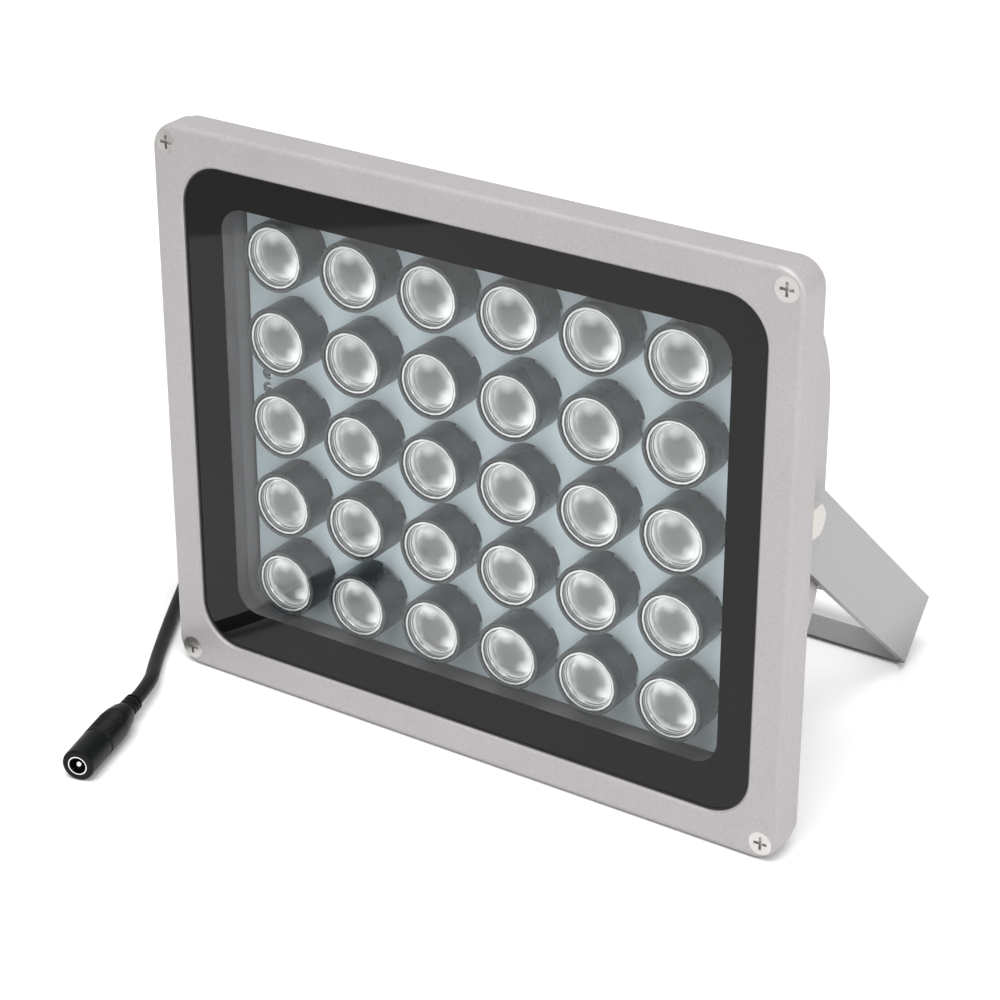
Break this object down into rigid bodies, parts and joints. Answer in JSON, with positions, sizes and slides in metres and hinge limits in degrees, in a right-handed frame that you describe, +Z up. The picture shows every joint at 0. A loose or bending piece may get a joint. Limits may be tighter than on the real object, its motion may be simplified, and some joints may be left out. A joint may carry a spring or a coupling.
{
  "type": "infrared illuminator",
  "caption": "Floodlight-style infrared illuminator with a glazed bezel over a grid of lensed emitters, a finned housing, a tilting U bracket and a short power lead",
  "frame": {"origin": "bottom centre of the lamp and its bracket as it stands in the picture, without the cable", "axes": "+X across the lamp to its right as seen from the front, +Y from the front glass to the back, +Z up"},
  "size_m": [0.262, 0.2232, 0.1876],
  "materials": {
    "cast_paint": "cast aluminium under sprayed silver-grey paint with a fine speckle",
    "strip_paint": "steel strip under sprayed silver-grey paint with a fine speckle",
    "glass": "clear toughened glass with a black printed border",
    "gasket_rubber": "matt black silicone rubber",
    "nickel_steel": "nickel-plated steel",
    "nylon": "natural white nylon",
    "board_metal": "metal-core board with pale solder mask",
    "circuit_board": "glass-fibre board with green solder mask",
    "ferrite": "dark grey ferrite",
    "capacitor_can": "aluminium can",
    "chip_plastic": "black moulded package",
    "lead_plastic": "insulated copper lead",
    "black_nylon": "black moulded nylon",
    "cable_jacket": "matt black soft jacket",
    "plug_plastic": "black moulded plastic",
    "contact_metal": "bright nickel-plated contact",
    "emitter_package": "emitter package with a clear window",
    "holder_plastic": "glossy black moulded plastic",
    "lens_acrylic": "clear moulded acrylic"
  },
  "bodies": {
    "lamp_head": {"front_bezel": "cast_paint", "cover_glass": "glass", "glass_gasket": "gasket_rubber", "bezel_screws": "nickel_steel", "rear_housing": "cast_paint", "cooling_fins": "cast_paint", "end_fins": "cast_paint", "led_board": "board_metal", "emitter_row_1": "emitter_package", "emitter_row_2": "emitter_package", "emitter_row_3": "emitter_package", "emitter_row_4": "emitter_package", "emitter_row_5": "emitter_package", "lens_holder_row_1": "holder_plastic", "lens_holder_row_2": "holder_plastic", "lens_holder_row_3": "holder_plastic", "lens_holder_row_4": "holder_plastic", "lens_holder_row_5": "holder_plastic", "lens_row_1": "lens_acrylic", "lens_row_2": "lens_acrylic", "lens_row_3": "lens_acrylic", "lens_row_4": "lens_acrylic", "lens_row_5": "lens_acrylic", "driver_board": "circuit_board", "driver_screws": "nickel_steel", "driver_inductor": "ferrite", "driver_capacitors": "capacitor_can", "driver_chips": "chip_plastic", "led_leads": "lead_plastic", "supply_leads": "lead_plastic", "pivot_bolts": "nickel_steel", "spring_washers": "nickel_steel", "friction_washers": "nylon", "gland_body": "black_nylon", "gland_seal": "gasket_rubber", "gland_nut": "black_nylon", "gland_bush": "gasket_rubber", "inner_cable": "cable_jacket", "power_cable": "cable_jacket", "plug_shell": "plug_plastic", "socket_sleeve": "contact_metal", "socket_pin": "contact_metal"},
    "bracket": {"mounting_bracket": "strip_paint"}
  },
  "joints": [
    {"name": "bracket_tilt", "type": "hinge", "parent": "lamp_head", "child": "bracket", "pos_m": [0, -0.02553, 0.0893], "axis": [1, 0, 0], "range_deg": [-47, 131]}
  ]
}
